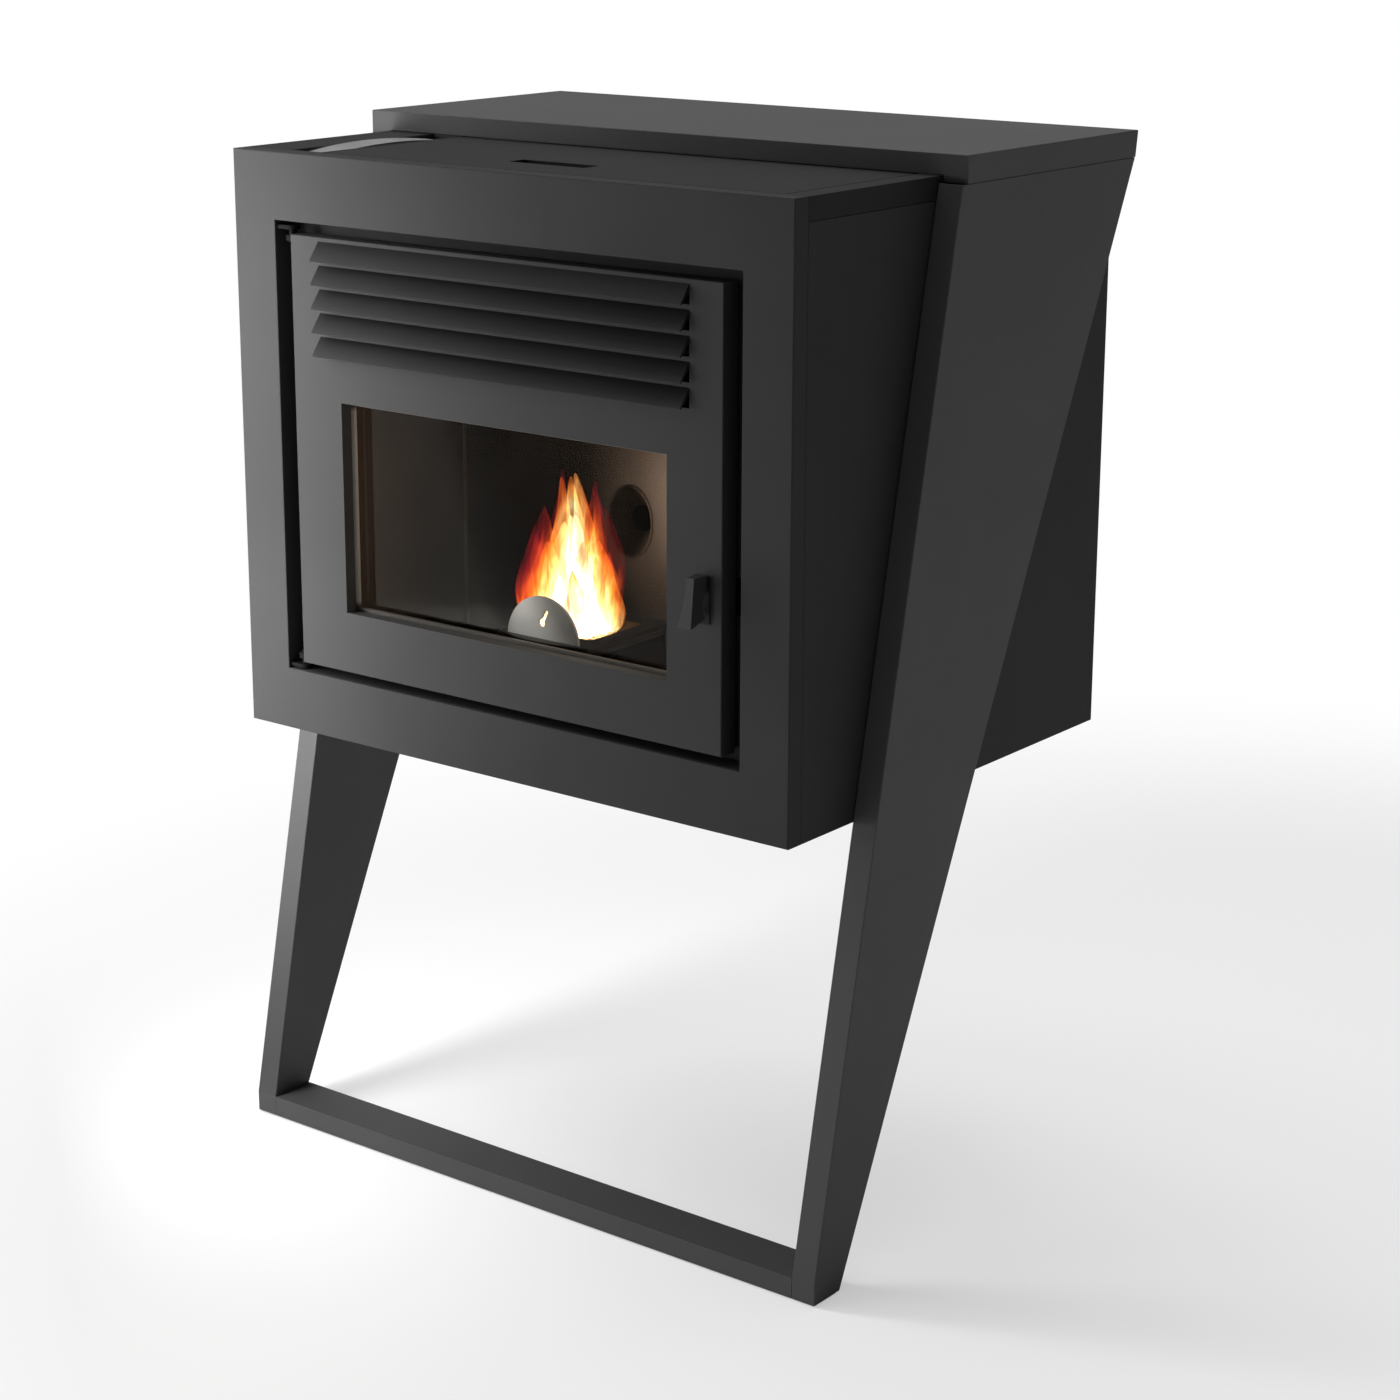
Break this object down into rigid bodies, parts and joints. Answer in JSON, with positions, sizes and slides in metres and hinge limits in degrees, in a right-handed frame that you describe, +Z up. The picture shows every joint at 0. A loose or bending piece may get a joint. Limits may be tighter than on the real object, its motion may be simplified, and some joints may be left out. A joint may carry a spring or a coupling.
{
  "type": "pellet stove",
  "caption": "Box-shaped wood-pellet room heater hung in a leaning tapered frame, with a glazed louvred door, a hopper lid on top and working latch, fans and feed screw.",
  "frame": {"origin": "on the floor, at the middle of the whole object's width and depth", "axes": "+X to the right as seen from the front, +Y towards the wall behind, +Z up"},
  "size_m": [0.778, 0.622, 1.113],
  "materials": {
    "frame_paint": "fine textured matt",
    "casing_paint": "fine textured matt",
    "door_paint": "matt heat-proof",
    "handle_paint": "satin",
    "zinc_steel": "zinc plated",
    "bright_steel": "polished",
    "heat_steel": "sooted",
    "liner_steel": "heat tinted",
    "pot_iron": "as cast",
    "galvanised": "galvanised",
    "cast_alloy": "as cast",
    "silver_strip": "satin anodised",
    "clear_glass": "clear glass ceramic",
    "rope": "braided glass fibre",
    "felt": "felt",
    "motor_paint": "gloss",
    "board_green": "circuit board",
    "black_plastic": "moulded",
    "rocker_plastic": "moulded"
  },
  "bodies": {
    "stove": {"leg_left": "frame_paint", "leg_right": "frame_paint", "foot_rail": "frame_paint", "foot_pads": "felt", "top_cover": "frame_paint", "cover_brackets": "zinc_steel", "frame_bolts": "zinc_steel", "spacer_washers": "zinc_steel", "wall_rail": "casing_paint", "front_surround": "casing_paint", "side_panel_left": "casing_paint", "side_panel_right": "casing_paint", "bottom_panel": "casing_paint", "back_panel": "casing_paint", "top_plate": "casing_paint", "lid_rails": "zinc_steel", "control_tray": "casing_paint", "control_strip": "silver_strip", "front_bulkhead": "casing_paint", "hinge_brackets": "handle_paint", "hinge_pins": "zinc_steel", "latch_keeper": "zinc_steel", "firebox": "heat_steel", "chute_mouth": "liner_steel", "firebox_liner": "liner_steel", "baffle_plate": "heat_steel", "pot_seat": "heat_steel", "igniter": "zinc_steel", "air_pipe": "galvanised", "smoke_duct": "galvanised", "flue_fan_housing": "cast_alloy", "flue_spigot": "galvanised", "flue_fan_motor": "motor_paint", "hopper": "galvanised", "feed_tube": "heat_steel", "auger_motor": "motor_paint", "room_fan_housing": "galvanised", "room_fan_motor": "motor_paint", "warm_air_duct": "galvanised", "control_board": "board_green", "power_inlet": "black_plastic"},
    "door": {"door_panel": "door_paint", "door_inner_frame": "heat_steel", "window_bead": "bright_steel", "door_glass": "clear_glass", "glass_retainers": "zinc_steel", "door_seal": "rope", "hinge_leaves": "handle_paint", "handle_plate": "handle_paint", "pivot_fork": "zinc_steel", "pivot_pin": "zinc_steel"},
    "handle": {"handle_lever": "handle_paint"},
    "lid": {"hopper_lid": "casing_paint"},
    "pot": {"burn_pot": "pot_iron", "pot_deflector": "bright_steel"},
    "feed_screw": {"auger": "zinc_steel"},
    "flue_fan": {"flue_fan_wheel": "bright_steel"},
    "room_fan": {"room_fan_drum": "galvanised"},
    "power_switch": {"power_rocker": "rocker_plastic"}
  },
  "joints": [
    {"name": "door_swing", "type": "hinge", "parent": "stove", "child": "door", "pos_m": [-0.287, -0.27, 0.7805], "axis": [0, 0, -1], "range_deg": [0, 100]},
    {"name": "handle_pull", "type": "hinge", "parent": "door", "child": "handle", "pos_m": [0.257, -0.27, 0.718], "axis": [-1, 0, 0], "range_deg": [0, 15]},
    {"name": "lid_swing", "type": "hinge", "parent": "stove", "child": "lid", "pos_m": [0.04, -0.056, 1.083], "axis": [-1, 0, 0], "range_deg": [0, 100]},
    {"name": "burn_pot_lift", "type": "slide", "parent": "stove", "child": "pot", "axis": [0, 0, 1], "range_m": [0, 0.05]},
    {"name": "feed_screw_spin", "type": "hinge", "parent": "stove", "child": "feed_screw", "pos_m": [0, 0.1, 0.7167], "axis": [0, 0.7478, -0.6639], "continuous": true},
    {"name": "flue_fan_spin", "type": "hinge", "parent": "stove", "child": "flue_fan", "pos_m": [0.14, 0.21, 0.59], "axis": [0, 1, 0], "continuous": true},
    {"name": "room_fan_spin", "type": "hinge", "parent": "stove", "child": "room_fan", "pos_m": [-0.195, 0.07, 0.525], "axis": [1, 0, 0], "continuous": true},
    {"name": "power_switch_rock", "type": "hinge", "parent": "stove", "child": "power_switch", "pos_m": [-0.236, 0.279, 0.55], "axis": [1, 0, 0], "range_deg": [0, 12]}
  ]
}
